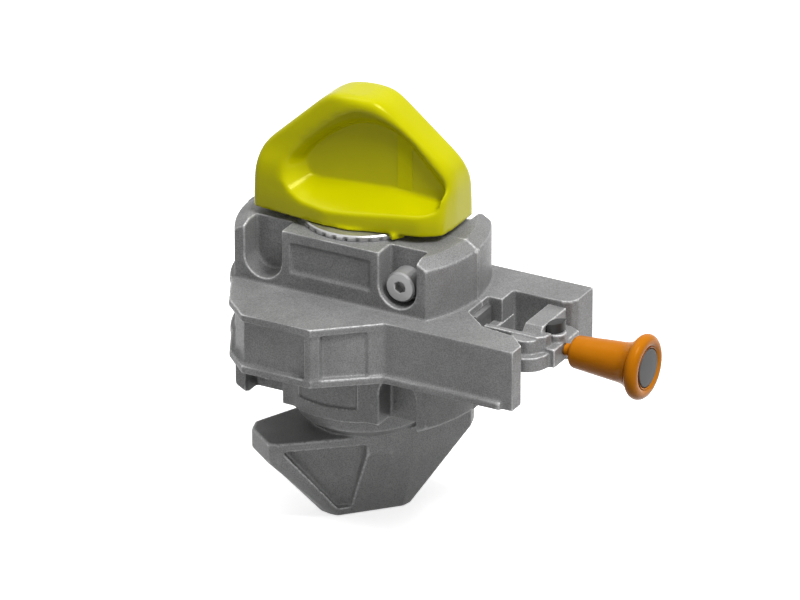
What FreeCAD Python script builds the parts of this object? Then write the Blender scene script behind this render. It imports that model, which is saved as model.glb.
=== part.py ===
import FreeCAD, Part
import math
import os
import re
import Sketcher
from FreeCAD import Rotation, Vector

# Container twistlock, semi-automatic, for the corner fittings of freight containers.
# Millimetres. The spindle turns about Z, the flange's mid-plane is Z = 0, the pull handle
# lies along +X and the housing's front half is on the -Y side.

os.makedirs("parts", exist_ok=True)
doc = FreeCAD.newDocument("container_twistlock")
sheet = doc.addObject("Spreadsheet::Sheet", "Sizes")

SIZES = [
    # housing: the oblong collars that enter the corner fittings
    ("collar_round", 52, "end radius of both collars"),
    ("collar_half", 28, "half the width of both collars"),
    ("collar_high", 25.5, "height of a collar above its seat"),
    ("bevel_wide", 5.5, "bevel on the collar's round ends, radially"),
    ("bevel_high", 3.7, "bevel on the collar's round ends, along Z"),
    ("land_half", 1.7, "width of each half's parting land on those ends"),
    ("land_proud", 0.5, "how far the land stands out"),
    ("barrel_round", 33, "barrel that bulges from the lower collar"),
    ("barrel_half", 18, "half the width of that barrel"),
    # flange between the two containers
    ("flange_thick", 26, "distance between the two seats"),
    ("rib_high", 3.4, "height of the rim ribs"),
    ("rib_deep", 2.4, "how far the ribs stand out of the web"),
    ("lobe_half", 57.5, "half the width over the lobes' ribs"),
    ("lobe_left", 24.5, "left end of the lobe's straight edge, from the axis"),
    ("lobe_right", 7.2, "right end of the lobe's straight edge"),
    ("shoulder_left", 36, "left shoulder of the lobe, from the axis"),
    ("shoulder_half", 47, "the same shoulder, from the axis along Y"),
    ("post_wide", 3.2, "corner post between the ribs"),
    # arms that carry the release bracket
    ("arm_root", 30.4, "where the lobe's diagonal meets the arm"),
    ("arm_front", 37.6, "outer face of the front arm"),
    ("arm_rear", 32.5, "outer face of the rear arm"),
    ("arm_end", 88, "end of the arms"),
    ("arm_corner", 7, "inner rounding of the front arm's end"),
    ("arm_scoop", 4.5, "the same on the rear arm"),
    ("slot_root", 54.5, "root of the slot between the arms"),
    ("slot_front", 23, "inner face of the front arm"),
    ("slot_rear", 14.8, "inner face of the rear arm"),
    ("slot_step", 4.9, "inner face of the rear arm beside the root"),
    ("step_end", 61, "end of that step"),
    ("ledge_short", 5, "lower rib of the arm stops this far from its end"),
    # screw pockets
    ("pocket_x", 30.75, "screw axis, from the spindle axis"),
    ("pocket_rise", 11.2, "screw axis above its seat"),
    ("pocket_round", 8.4, "radius of the pocket's scooped floor"),
    ("pocket_deep", 10, "depth of the pocket"),
    ("screw_round", 4, "radius of the M8 shank"),
    ("screw_length", 30, "shank length"),
    ("head_round", 6.5, "screw head radius"),
    ("head_high", 8, "screw head height"),
    ("hex_flats", 6, "hexagon socket across flats"),
    ("hex_deep", 4, "depth of that socket"),
    ("screw_gap", 0.05, "radial gap in the tapped hole"),
    ("clear_gap", 0.5, "radial gap in the clearance hole"),
    # bare panels
    ("panel_half", 18.2, "half the width of the bare panel"),
    ("panel_low", 7.9, "lower edge above the seat"),
    ("panel_top", 20.8, "upper edge above the seat"),
    ("panel_deep", 1, "depth of the panels"),
    # spindle, its bearings and what turns with it
    ("spindle_round", 15, "spindle radius"),
    ("running_gap", 0.06, "radial running clearance"),
    ("bush_wall", 3, "wall of the bearing bushes"),
    ("bush_gap", 0.02, "radial gap between bush and housing"),
    ("end_play", 0.3, "axial gap between turning and standing faces"),
    ("spring_top", 27, "ceiling of the spring chamber"),
    ("spring_cave", 23.4, "radius of the spring chamber"),
    ("spring_round", 19.6, "mean radius of the torsion spring"),
    ("spring_wire", 2.4, "radius of the spring wire"),
    ("spring_turns", 2.5, "turns of the torsion spring"),
    ("spring_pitch", 5.2, "rise of the torsion spring in one turn"),
    ("spring_leg", 25.4, "reach of the spring's fixed leg"),
    ("spring_start", 9.8, "height at which its coils start"),
    ("leg_deep", 4, "depth of its other leg in the drum"),
    ("anchor_round", 2.6, "radius of the wire's end ferrule in the drum"),
    ("drum_cave", 31, "radius of the drum chamber"),
    ("drum_round", 26, "outer radius of the wire drum"),
    ("drum_half", 6, "half the height of the wire drum"),
    ("pitch_round", 24, "radius at which the wire lies on the drum"),
    ("key_wide", 5, "width of the drum key"),
    ("key_proud", 2.4, "how far the key stands out of the spindle"),
    ("washer_round", 25, "outer radius of the thrust washer"),
    ("washer_thick", 2.5, "thickness of the thrust washer"),
    # upper cone
    ("cone_long", 41.4, "half the length of the upper cone"),
    ("cone_high", 52, "height of the upper cone"),
    ("cone_wide", 21.2, "half its greatest width"),
    ("cone_foot", 6, "height up to which its plan stays the same"),
    ("cone_wall", 15, "height of its upright ends"),
    ("cone_waist", 24, "height at which its ends turn to their slope"),
    ("cone_brow", 49.3, "height at which its ridge starts to round"),
    ("web_half", 4, "half the thickness of the web between its hollows"),
    ("web_turn", 8.5, "turn of that web from X, as the cone is skewed"),
    ("mouth_deep", 24, "distance from the web at which the hollows' mouths are drawn"),
    ("lug_turn", -31, "angle of the cone's stop lug"),
    ("lug_start", 25.3, "inner radius of that lug"),
    ("lug_end", 28.7, "outer radius of that lug"),
    ("lug_half", 3, "half the width of that lug"),
    ("lug_drop", 2, "how far it hangs below the cone's neck"),
    ("neck_round", 21, "round neck under the upper cone"),
    ("neck_high", 1.2, "height of the neck"),
    ("tang_half", 10.5, "half the spindle's square tang"),
    ("tang_long", 7.3, "length of the tang inside the cone"),
    ("pin_round", 2.5, "radius of the cone pin"),
    ("pin_rise", 3.2, "its axis above the cone's underside"),
    ("pin_start", 6, "inner end of the cone pin, from the axis"),
    ("pin_long", 13, "length of the cone pin"),
    # lower cone
    ("turret_round", 27, "round turret on top of the lower cone"),
    ("turret_foot", 21, "radius at which it runs into the lower cone"),
    ("turret_high", 11.2, "height of the turret"),
    ("turret_fall", 4.5, "height over which it widens"),
    ("foot_turn", 61, "turn of the lower cone's long axis from X"),
    ("foot_long", 47.7, "half the length of the lower cone"),
    ("foot_wide", 22.5, "half its greatest width"),
    ("foot_wall", 8.5, "height of its upright ends"),
    ("foot_high", 41, "height of the lower cone"),
    ("foot_nose", 18, "half the length of its lower edge"),
    ("nose_wide", 10.7, "half the width of that edge"),
    ("foot_rim", 4, "rim above and below its recesses"),
    # wire and handle
    ("wire_round", 1.75, "radius of the pull wire"),
    ("wire_gap", 0.35, "radial gap around the wire in its guides"),
    ("wire_bend", 6, "bend of the wire at the guide block"),
    ("wire_join", 47, "where the guided wire meets the sliding wire"),
    ("wrap_end", 139, "angle at which the wire is anchored on the drum"),
    ("block_start", 45, "inner end of the guide block"),
    ("block_end", 57, "outer end of the guide block"),
    ("block_front", 9.3, "front face of the guide block"),
    ("block_rear", 3.4, "rear face of the guide block"),
    ("block_low", 6, "guide block below the mid-plane"),
    ("block_top", 10, "guide block above the mid-plane"),
    ("plate_over", 4, "how far the release bracket stands past the arms"),
    ("plate_low", 5.1, "underside of the bracket's plate"),
    ("plate_top", 3.1, "upper side of the bracket's plate"),
    ("plate_front", 9, "front edge of the bracket's end"),
    ("plate_rear", 12.5, "rear edge of the bracket's end"),
    ("lobe_x", 79.5, "centre of the bracket's round lobe"),
    ("lobe_round", 10, "radius of the bracket's round lobe"),
    ("boss_round", 6.4, "round boss on the lobe"),
    ("lip_start", 61, "start of the bracket's lip"),
    ("lip_top", 8.2, "top of the lip and the boss"),
    ("lip_thick", 2.6, "thickness of the lip"),
    ("lip_turn", -6, "place along Y where the lip has turned towards the stop"),
    ("strap_wide", 8.4, "width of the raised strap"),
    ("strap_in", 3, "its outer face from the end of the arms"),
    ("strap_top", 10.4, "top of the strap"),
    ("stop_in", 4.2, "middle of the stop from the bracket's end face"),
    ("stop_y", 0.8, "the same, behind the wire"),
    ("stop_turn", 66, "angle of its long axis from X"),
    ("stop_curve", 6.4, "radius of the stop's two curved sides"),
    ("stop_half", 2.3, "half the stop's thickness"),
    ("stop_seat", 6.6, "top of the stop's seat"),
    ("stop_top", 10.8, "top of the stop"),
    ("stop_shank", 1.8, "radius of its shank in the bracket"),
    ("sleeve_round", 2.6, "radius of the crimped sleeve"),
    ("handle_gap", 4, "handle's inner end from the bracket's end face"),
    ("handle_long", 34, "length of the handle"),
    ("grip_start", 6.8, "grip radius at its inner end"),
    ("grip_end", 8.4, "grip radius before its rim"),
    ("rim_round", 13.6, "radius of the handle's rim"),
    ("rim_tube", 2.9, "half the thickness of the rim"),
    ("disc_round", 7.9, "radius of the end disc"),
    ("disc_deep", 1.8, "depth of its recess"),
    ("disc_gap", 0.4, "gap around the end disc"),
    ("ferrule_round", 4.6, "radius of the ferrule in the handle"),
    ("ferrule_long", 12, "length of that ferrule"),
]
for row, (alias, value, note) in enumerate(SIZES, 1):
    sheet.set("A%d" % row, alias)
    sheet.set("B%d" % row, str(value))
    sheet.setAlias("B%d" % row, alias)
    sheet.set("C%d" % row, note)
doc.recompute()
ALIASES = {alias for alias, value, note in SIZES}


def bound(text):
    """The expression with every size's name looked up in the sheet."""
    return re.sub(r"[a-z]\w*", lambda m: "Sizes." + m[0] if m[0] in ALIASES else m[0], str(text))


def size(text):
    """The number that an expression of sizes gives."""
    value = sheet.evalExpression(bound(text))
    return float(getattr(value, "Value", value))


def new_body(name):
    body = doc.addObject("PartDesign::Body", name)
    body.Label = name
    return body


def new_sketch(body, name, role, offset="0", turn=None):
    """A sketch on one of the body's own origin planes, turned about Z and moved along its normal."""
    sketch = body.newObject("Sketcher::SketchObject", body.Name + "_" + name)
    plane = [f for f in body.Origin.OriginFeatures if f.Role == role][0]
    sketch.AttachmentSupport = [(plane, "")]
    sketch.MapMode = "FlatFace"
    if turn is None:
        sketch.setExpression("AttachmentOffset.Base.z", bound(offset))
        return sketch
    upright = Vector(0, 0, 1) if role == "XY_Plane" else Vector(0, 1, 0)
    sketch.AttachmentOffset = FreeCAD.Placement(Vector(), Rotation(upright, size(turn)))
    sketch.setExpression("AttachmentOffset.Rotation.Angle", bound(turn))
    if role == "XY_Plane":
        sketch.setExpression("AttachmentOffset.Base.z", bound(offset))
    else:
        sketch.setExpression("AttachmentOffset.Base.x", bound("(%s) * sin(%s)" % (offset, turn)))
        sketch.setExpression("AttachmentOffset.Base.z", bound("(%s) * cos(%s)" % (offset, turn)))
    return sketch


def pin_point(sketch, geometry, end, x, y):
    """Holds one end of a line at a place given by two expressions."""
    for kind, text in (("DistanceX", x), ("DistanceY", y)):
        index = sketch.addConstraint(Sketcher.Constraint(kind, -1, 1, geometry, end, size(text)))
        sketch.setExpression("Constraints[%d]" % index, bound(text))


def polygon(sketch, corners):
    """A closed outline of straight lines through corners given as expressions."""
    places = [Vector(size(x), size(y), 0) for x, y in corners]
    first = sketch.GeometryCount
    count = len(corners)
    for i in range(count):
        sketch.addGeometry(Part.LineSegment(places[i], places[(i + 1) % count]), False)
    for i in range(count):
        after = first + (i + 1) % count
        sketch.addConstraint(Sketcher.Constraint("Coincident", first + i, 2, after, 1))
    for i, (x, y) in enumerate(corners):
        pin_point(sketch, first + i, 1, x, y)


def circle(sketch, x, y, radius):
    centre = Vector(size(x), size(y), 0)
    index = sketch.addGeometry(Part.Circle(centre, Vector(0, 0, 1), size(radius)), False)
    pin_point(sketch, index, 3, x, y)
    row = sketch.addConstraint(Sketcher.Constraint("Radius", index, size(radius)))
    sketch.setExpression("Constraints[%d]" % row, bound(radius))


def rectangle(sketch, low_x, low_y, high_x, high_y):
    polygon(sketch, [(low_x, low_y), (high_x, low_y), (high_x, high_y), (low_x, high_y)])


def extrude(sketch, kind, length=None, symmetric=False, reverse=False, taper=None):
    """Pads or pockets a sketch; without a length it goes through everything."""
    body = sketch.getParentGeoFeatureGroup()
    feature = body.newObject("PartDesign::" + kind, sketch.Name + "_" + kind.lower())
    feature.Profile = sketch
    feature.SideType = "Symmetric" if symmetric else "One side"
    feature.Reversed = reverse
    if length is None:
        feature.Type = "ThroughAll"
    else:
        feature.setExpression("Length", bound(length))
    if taper is not None:
        feature.TaperAngle = taper
    return feature


def spin(sketch, kind, angle="360", symmetric=False, axis="V_Axis"):
    """Revolves a sketch about one of its own axes."""
    body = sketch.getParentGeoFeatureGroup()
    feature = body.newObject("PartDesign::" + kind, sketch.Name + "_" + kind.lower())
    feature.Profile = sketch
    feature.ReferenceAxis = (sketch, [axis])
    feature.setExpression("Angle", bound(angle))
    feature.Midplane = symmetric
    return feature


def cylinder(name, radius, length, place, direction=Vector(0, 0, 1)):
    """A named round bar from a place along a direction; its sizes are expressions."""
    bar = doc.addObject("Part::Cylinder", name)
    bar.setExpression("Radius", bound(radius))
    bar.setExpression("Height", bound(length))
    turn = Rotation(Vector(0, 0, 1), direction)
    bar.Placement = FreeCAD.Placement(Vector(*[size(c) for c in place]), turn)
    for axis, text in zip("xyz", place):
        bar.setExpression("Placement.Base." + axis, bound(text))
    return bar


def box(name, low, high):
    """A named block between two corners given as expressions."""
    block = doc.addObject("Part::Box", name)
    for side, axis, start, end in zip(("Length", "Width", "Height"), "xyz", low, high):
        block.setExpression(side, bound("(%s) - (%s)" % (end, start)))
        block.setExpression("Placement.Base." + axis, bound(start))
    return block


def cut(name, base, *tools):
    result = base
    for number, tool in enumerate(tools, 1):
        step = doc.addObject("Part::Cut", name if number == len(tools) else "%s_%d" % (name, number))
        step.Base = result
        step.Tool = tool
        result = step
    result.Label = name
    return result


# Heights that several pieces share
SEAT = "flange_thick / 2"
TOP = "flange_thick / 2 + collar_high"
SCREW_Z = "flange_thick / 2 + pocket_rise"
WASHER_TOP = "flange_thick / 2 + collar_high + washer_thick"
NECK_LOW = "flange_thick / 2 + collar_high + washer_thick + end_play"
CONE_LOW = "flange_thick / 2 + collar_high + washer_thick + end_play + neck_high"
TURRET_TOP = "-(flange_thick / 2 + collar_high + end_play)"
FOOT_TOP = "-(flange_thick / 2 + collar_high + end_play + turret_high)"
BUSH_OUT = "spindle_round + running_gap + bush_wall"
PIN_Z = "flange_thick / 2 + collar_high + washer_thick + end_play + neck_high + pin_rise"
BORE_TIGHT = "spindle_round + bush_gap"
HANDLE_START = "(arm_end + plate_over + handle_gap)"
HANDLE_END = "(arm_end + plate_over + handle_gap) + handle_long"
WIRE_LEAVE = "acos(pitch_round / block_start)"
PLATE_END = "arm_end + plate_over"
STRAP_END = "arm_end - strap_in"
STOP_X = "arm_end + plate_over - stop_in"


def housing_half(name, side):
    """One casting of the housing: side is -1 for the front half and 1 for the rear half."""
    sign = "" if side > 0 else "-"
    body = new_body(name)

    def across(text):
        return "%s(%s)" % (sign, text)

    # collars and the column between them, rounded and bevelled at both ends by one revolved cut
    plan = new_sketch(body, "column", "XY_Plane")
    outer = "collar_round + 4"
    polygon(plan, [("-(%s)" % outer, "0"), ("-(%s)" % outer, across("collar_half")),
                   (outer, across("collar_half")), (outer, "0")])
    extrude(plan, "Pad", "2 * (%s)" % TOP, symmetric=True)
    ends = new_sketch(body, "ends", "XZ_Plane")
    top, beyond = TOP, "collar_round + 14"
    inner, rib = "collar_round - bevel_wide", "collar_round + 2"
    polygon(ends, [(inner, top), (inner, "%s + 1" % top), (beyond, "%s + 1" % top),
                   (beyond, "-(%s) - 1" % top), (inner, "-(%s) - 1" % top), (inner, "-(%s)" % top),
                   ("collar_round", "bevel_high - (%s)" % top), ("collar_round", "-(%s)" % SEAT),
                   (rib, "-(%s)" % SEAT), (rib, "rib_high - (%s)" % SEAT),
                   ("collar_round", "rib_high - (%s)" % SEAT), ("collar_round", "%s - rib_high" % SEAT),
                   (rib, "%s - rib_high" % SEAT), (rib, SEAT), ("collar_round", SEAT),
                   ("collar_round", "%s - bevel_high" % top)])
    spin(ends, "Groove")

    # flange: a web with ribs along its upper and lower rim
    arm = "arm_front" if side < 0 else "arm_rear"
    if side < 0:
        slot = [("arm_end", "-(slot_front + arm_corner)"), ("arm_end - arm_corner", "-slot_front"),
                ("step_end + 5", "-(slot_front - 2)"), ("slot_root", "-(block_front + 2)"),
                ("slot_root", "0")]
    else:
        slot = [("arm_end", "slot_rear + arm_scoop"),
                ("arm_end - arm_scoop / 3", "slot_rear + arm_scoop / 3"),
                ("arm_end - arm_scoop", "slot_rear"), ("step_end", "slot_rear"), ("step_end", "slot_step"),
                ("slot_root", "slot_step"), ("slot_root", "0")]

    def rim(inset, left, arm_inset):
        """Outline of the lobe and arm, set in from the ribs' edge."""
        return [(left, "0"), (left, across("collar_half - 1")),
                ("-(shoulder_left - %s)" % inset, across("shoulder_half - %s / 2" % inset)),
                ("-lobe_left", across("lobe_half - %s" % inset)),
                ("lobe_right - %s / 2" % inset, across("lobe_half - %s" % inset)),
                ("arm_root - %s / 2" % inset, across("%s - %s" % (arm, arm_inset))),
                ("arm_end", across("%s - %s" % (arm, arm_inset)))]

    web = new_sketch(body, "web", "XY_Plane")
    polygon(web, rim("rib_deep", "-(collar_round - 8.2)", "0") + slot)
    extrude(web, "Pad", "flange_thick", symmetric=True)
    upper = new_sketch(body, "upper_rib", "XY_Plane", "%s - rib_high" % SEAT)
    upper_rim = rim("0", "-(collar_round - 5.8)", "0")[:-1]
    polygon(upper, upper_rim + [("arm_root", "0")])
    extrude(upper, "Pad", "rib_high")
    lower = new_sketch(body, "lower_rib", "XY_Plane", "-(%s)" % SEAT)
    lower_rim = rim("0", "-(collar_round - 5.8)", "-1.8")[:-1]
    end = "arm_end - ledge_short"
    polygon(lower, lower_rim + [(end, across("%s + 1.8" % arm)), (end, across("%s - 1" % arm)),
                                ("arm_root + 3", across("%s - 6" % arm)), ("arm_root + 3", "0")])
    extrude(lower, "Pad", "rib_high")
    posts = new_sketch(body, "posts", "XY_Plane")
    polygon(posts, [("lobe_right - post_wide", across("lobe_half - rib_deep - 2")),
                    ("lobe_right - post_wide", across("lobe_half - 0.4")),
                    ("lobe_right - 0.4", across("lobe_half - 0.4")),
                    ("lobe_right + post_wide - 0.6", across("lobe_half - post_wide + 0.6")),
                    ("lobe_right + post_wide - 0.8", across("lobe_half - rib_deep - 4"))])
    polygon(posts, [("arm_root - 5.6", across("%s - 2" % arm)),
                    ("arm_root - 5.6", across("%s + (lobe_half - %s) * 0.241 - 0.3" % (arm, arm))),
                    ("arm_root - 0.2", across("%s" % arm)), ("arm_root + 2", across("%s - 2" % arm))])
    extrude(posts, "Pad", "flange_thick - 1", symmetric=True)

    # parting lands down the middle of the collars' round ends
    lands = new_sketch(body, "lands", "XZ_Plane")
    out, face = "collar_round + land_proud", "collar_round - 2"
    for end in ("", "-"):
        for rise in ("", "-"):
            polygon(lands, [("%s(%s)" % (end, x), "%s(%s)" % (rise, z)) for x, z in (
                (face, SEAT), (out, SEAT), (out, "%s - bevel_high" % TOP),
                ("collar_round - bevel_wide + land_proud", TOP), ("collar_round - bevel_wide - 2", TOP),
                (face, "%s - bevel_high - 2" % TOP))])
    extrude(lands, "Pad", "land_half", reverse=side > 0)

    # barrel that stands out of the lower collar
    barrel = new_sketch(body, "barrel", "YZ_Plane")
    reach = "sqrt(barrel_round^2 - barrel_half^2)"
    polygon(barrel, [(across("spindle_round"), "-(%s)" % TOP), (across("barrel_round"), "-(%s)" % TOP),
                     (across("barrel_round"), "-(%s)" % SEAT), (across("spindle_round"), "-(%s)" % SEAT)])
    spin(barrel, "Revolution", "2 * asin(barrel_half / barrel_round)", symmetric=True)

    # screw pockets, open towards the seats' far side, with scooped floors
    pockets = new_sketch(body, "pockets", "XZ_Plane", "%d * (collar_half - pocket_deep)" % -side)
    scoops = new_sketch(body, "scoops", "XZ_Plane", "%d * (collar_half - pocket_deep)" % -side)
    for x in ("pocket_x", "-pocket_x"):
        for level, edge in ((SCREW_Z, "%s + 1" % TOP), ("-(%s)" % SCREW_Z, "-(%s) - 1" % TOP)):
            rectangle(pockets, "%s - pocket_round" % x, level, "%s + pocket_round" % x, edge)
            circle(scoops, x, level, "pocket_round")
    extrude(pockets, "Pocket", "pocket_deep + 1", reverse=side < 0)
    extrude(scoops, "Pocket", "pocket_deep + 1", reverse=side < 0)

    # two clearance holes and two blind tapped holes, so that the halves clamp from both sides
    clear = new_sketch(body, "clearance", "XZ_Plane")
    tapped = new_sketch(body, "tapped", "XZ_Plane")
    for x, level, from_side in SCREWS:
        if from_side == side:
            circle(clear, x, level, "screw_round + clear_gap")
        else:
            circle(tapped, x, level, "screw_round + screw_gap")
    extrude(clear, "Pocket", "collar_half - pocket_deep + 1", reverse=side < 0)
    extrude(tapped, "Pocket", "screw_length - (collar_half - pocket_deep) + 2", reverse=side < 0)

    # bore with bearing seats, spring chamber and drum chamber, as one revolved cut
    bore = new_sketch(body, "bore", "XZ_Plane")
    drum_top = "drum_half + 1"
    polygon(bore, [("0", "-(%s) - 1" % TOP), (BUSH_OUT + " + bush_gap", "-(%s) - 1" % TOP),
                   (BUSH_OUT + " + bush_gap", "-(%s)" % drum_top), ("drum_cave", "-(%s)" % drum_top),
                   ("drum_cave", drum_top), ("spring_cave", drum_top), ("spring_cave", "spring_top"),
                   (BUSH_OUT + " + bush_gap", "spring_top"), (BUSH_OUT + " + bush_gap", "%s + 1" % TOP),
                   ("0", "%s + 1" % TOP)])
    spin(bore, "Groove")

    # seat of the guide block and the passage that leads the wire to the drum
    seat = new_sketch(body, "block_seat", "XY_Plane", "-block_low")
    rectangle(seat, "block_start", "-block_front", "slot_root + 1", "block_rear")
    extrude(seat, "Pocket", "block_low + block_top", reverse=True)
    passage = new_sketch(body, "passage", "XY_Plane")
    polygon(passage, [("drum_cave - 9", "drum_cave / 2 + 5"), ("drum_cave - 9", "drum_cave / 4"),
                      ("block_start + 1", "-3"), ("block_start + 1", "block_rear")])
    extrude(passage, "Pocket", "2 * wire_round + 4", symmetric=True)

    # slot that holds the torsion spring's fixed leg
    leg = new_sketch(body, "leg_slot", "XY_Plane", "spring_top")
    rectangle(leg, "-(spring_leg + 0.5)", "-(spring_wire + 0.3)", "-spring_round", "spring_wire + 0.3")
    extrude(leg, "Pocket", "spring_top - drum_half - 1")
    return body


# Each screw: its axis and the side that its head is on
SCREWS = [("pocket_x", SCREW_Z, -1), ("-pocket_x", SCREW_Z, 1),
          ("pocket_x", "-(%s)" % SCREW_Z, 1), ("-pocket_x", "-(%s)" % SCREW_Z, -1)]

front = housing_half("front_housing", -1)
panel = new_sketch(front, "panel", "XZ_Plane", "collar_half - panel_deep")
rectangle(panel, "-panel_half", "%s + panel_low" % SEAT, "panel_half", "%s + panel_top" % SEAT)
extrude(panel, "Pocket", "2", reverse=True)
low_panel = new_sketch(front, "low_panel", "YZ_Plane")
rectangle(low_panel, "-(barrel_round + 2)", "6 - (%s)" % TOP,
          "-(barrel_round - panel_deep)", "-(%s) - 5" % SEAT)
spin(low_panel, "Groove", "48", symmetric=True)
rear = housing_half("rear_housing", 1)


def screw(number, x, level, from_side):
    """A socket head cap screw along Y, its head in the pocket on one side."""
    way = Vector(0, -from_side, 0)
    floor = "%d * (collar_half - pocket_deep)" % from_side
    head_end = "%s + %d * head_high" % (floor, from_side)
    head = cylinder("screw_head_%d" % number, "head_round", "head_high", (x, head_end, level), way)
    shank = cylinder("screw_shank_%d" % number, "screw_round", "screw_length", (x, floor, level), way)
    whole = doc.addObject("Part::Fuse", "screw_blank_%d" % number)
    whole.Base = head
    whole.Tool = shank
    socket = doc.addObject("Part::Prism", "screw_socket_%d" % number)
    socket.Polygon = 6
    socket.setExpression("Circumradius", bound("hex_flats / sqrt(3)"))
    socket.setExpression("Height", bound("hex_deep + 1"))
    turn = Rotation(Vector(0, 0, 1), way)
    socket.Placement = FreeCAD.Placement(Vector(), turn)
    start = "%s + %d" % (head_end, from_side)
    for axis, text in zip("xyz", (x, start, level)):
        socket.setExpression("Placement.Base." + axis, bound(text))
    return cut("screw_%d" % number, whole, socket)


screws = doc.addObject("Part::Compound", "housing_screws")
screws.Links = [screw(n, *place) for n, place in enumerate(SCREWS, 1)]


def tube(name, outer, inner, low, high):
    """A sleeve about the Z axis."""
    wall = cylinder(name + "_wall", outer, "(%s) - (%s)" % (high, low), ("0", "0", low))
    hole = cylinder(name + "_hole", inner, "(%s) - (%s) + 2" % (high, low), ("0", "0", "(%s) - 1" % low))
    return cut(name, wall, hole)


BORE = "spindle_round + running_gap"
upper_bush = tube("upper_bush", BUSH_OUT, BORE, "spring_top", TOP)
lower_bush = tube("lower_bush", BUSH_OUT, BORE, "-(%s)" % TOP, "-(drum_half + 1)")
washer = tube("thrust_washer", "washer_round", BORE + " + 0.2", TOP, WASHER_TOP)


# spindle and lower cone, one forging: the cone's sketches are turned about Z
spindle = new_body("spindle")
shaft = new_sketch(spindle, "shaft", "XZ_Plane")
polygon(shaft, [("0", "%s - 2" % FOOT_TOP), ("turret_foot", "%s - 2" % FOOT_TOP),
                ("turret_foot", FOOT_TOP), ("turret_round", "%s + turret_fall" % FOOT_TOP),
                ("turret_round", TURRET_TOP), ("spindle_round", TURRET_TOP),
                ("spindle_round", NECK_LOW), ("0", NECK_LOW)])
spin(shaft, "Revolution")
tang = new_sketch(spindle, "tang", "XY_Plane", NECK_LOW)
rectangle(tang, "-tang_half", "-tang_half", "tang_half", "tang_half")
extrude(tang, "Pad", "neck_high + tang_long")
tang_hole = new_sketch(spindle, "tang_hole", "XZ_Plane", "-pin_start")
circle(tang_hole, "0", PIN_Z, "pin_round + bush_gap")
extrude(tang_hole, "Pocket", "tang_half", reverse=False)


FOOT_PLAN = [(0.849, -0.813), (0.948, -0.596), (1, 0.12), (0.929, 0.253), (0.013, 1), (-0.235, 0.942)]
NOSE_PLAN = [(0.933, -0.869), (1, -0.327), (0.922, 0.093), (0.817, 0.383), (-0.111, 0.762), (-0.694, 1)]
RECESS_TOP = [(0.87, 0.044), (0.356, 0.444), (0.252, 0.578), (0.21, 0.756), (0.21, 1.78), (0.964, 0.978)]
RECESS_LOW = [(0.833, 0.234), (0.694, 0.3), (0.611, 0.374), (0.556, 0.514), (0.556, 1.87), (0.972, 1.87)]


def ring(sketch, long, wide, half):
    """A closed outline from half its corners, as fractions of half its length and half its width."""
    places = [("(%s) * %s" % (long, x), "(%s) * %s" % (wide, y)) for x, y in half]
    polygon(sketch, places + [("-(%s)" % x, "-(%s)" % y) for x, y in places])


plan = new_sketch(spindle, "foot_plan", "XY_Plane", FOOT_TOP, "foot_turn")
ring(plan, "foot_long", "foot_wide", FOOT_PLAN)
extrude(plan, "Pad", "foot_wall", reverse=True)
start = new_sketch(spindle, "foot_start", "XY_Plane", "%s - foot_wall" % FOOT_TOP, "foot_turn")
ring(start, "foot_long", "foot_wide", FOOT_PLAN)
nose = new_sketch(spindle, "foot_nose", "XY_Plane", "%s - foot_high" % FOOT_TOP, "foot_turn")
ring(nose, "foot_nose", "nose_wide", NOSE_PLAN)
taper = spindle.newObject("PartDesign::AdditiveLoft", "foot_taper")
taper.Profile = start
taper.Sections = [nose]
taper.Ruled = True
for side in (1, -1):
    name = "recess_rear" if side > 0 else "recess_front"
    top = new_sketch(spindle, name + "_top", "XY_Plane", "%s - foot_rim" % FOOT_TOP, "foot_turn")
    low = new_sketch(spindle, name + "_low", "XY_Plane", "%s - foot_high + foot_rim" % FOOT_TOP, "foot_turn")
    for sketch, long, wide, outline in ((top, "foot_long", "foot_wide", RECESS_TOP),
                                        (low, "foot_nose", "nose_wide", RECESS_LOW)):
        polygon(sketch, [("%s * %s" % (long, side * x), "%s * %s" % (wide, side * y)) for x, y in outline])
    recess = spindle.newObject("PartDesign::SubtractiveLoft", name)
    recess.Profile = top
    recess.Sections = [low]
    recess.Ruled = True
key_seat = new_sketch(spindle, "key_seat", "XY_Plane", "1 - drum_half")
rectangle(key_seat, "-key_wide / 2", "-(spindle_round + 1)", "key_wide / 2", "key_proud - spindle_round")
extrude(key_seat, "Pocket", "2 * drum_half - 2", reverse=True)


# upper cone: an upright foot, then a taper in four stages to the rounded ridge
CONE_PLAN = [(-1, -0.698), (-0.152, -1), (0.075, -0.939), (0.797, -0.623), (0.976, -0.377), (1, 0.071)]
CONE_STAGES = [("0", "cone_long", "cone_wide", CONE_PLAN),
               ("cone_foot", "cone_long", "cone_wide", CONE_PLAN),
               ("cone_wall", "cone_long * 0.995", "cone_wide * 0.875",
                [(-1, -0.73), (-0.153, -1), (0.075, -0.92), (0.801, -0.43), (0.96, -0.2), (0.997, 0.12)]),
               ("cone_waist", "cone_long * 0.925", "cone_wide * 0.75",
                [(-1, -0.79), (-0.157, -1), (0.078, -0.924), (0.8, -0.25), (0.966, -0.063), (0.997, 0.222)]),
               ("cone_brow", "cone_long * 0.316", "cone_wide * 0.448",
                [(-1, -0.895), (-0.305, -1), (0.229, -0.947), (0.7, -0.77), (0.878, -0.632), (1, -0.21)]),
               ("cone_high", "cone_long * 0.157", "cone_wide * 0.307",
                [(-1, -0.846), (-0.308, -1), (0.308, -0.923), (0.68, -0.74), (0.846, -0.615), (1, -0.23)])]
cone = new_body("top_cone")
stages = []
for number, (level, long, wide, half) in enumerate(CONE_STAGES):
    stage = new_sketch(cone, "stage_%d" % number, "XY_Plane", "%s + %s" % (CONE_LOW, level))
    ring(stage, long, wide, half)
    stages.append(stage)
taper = cone.newObject("PartDesign::AdditiveLoft", "cone_taper")
taper.Profile = stages[0]
taper.Sections = stages[1:]
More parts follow.
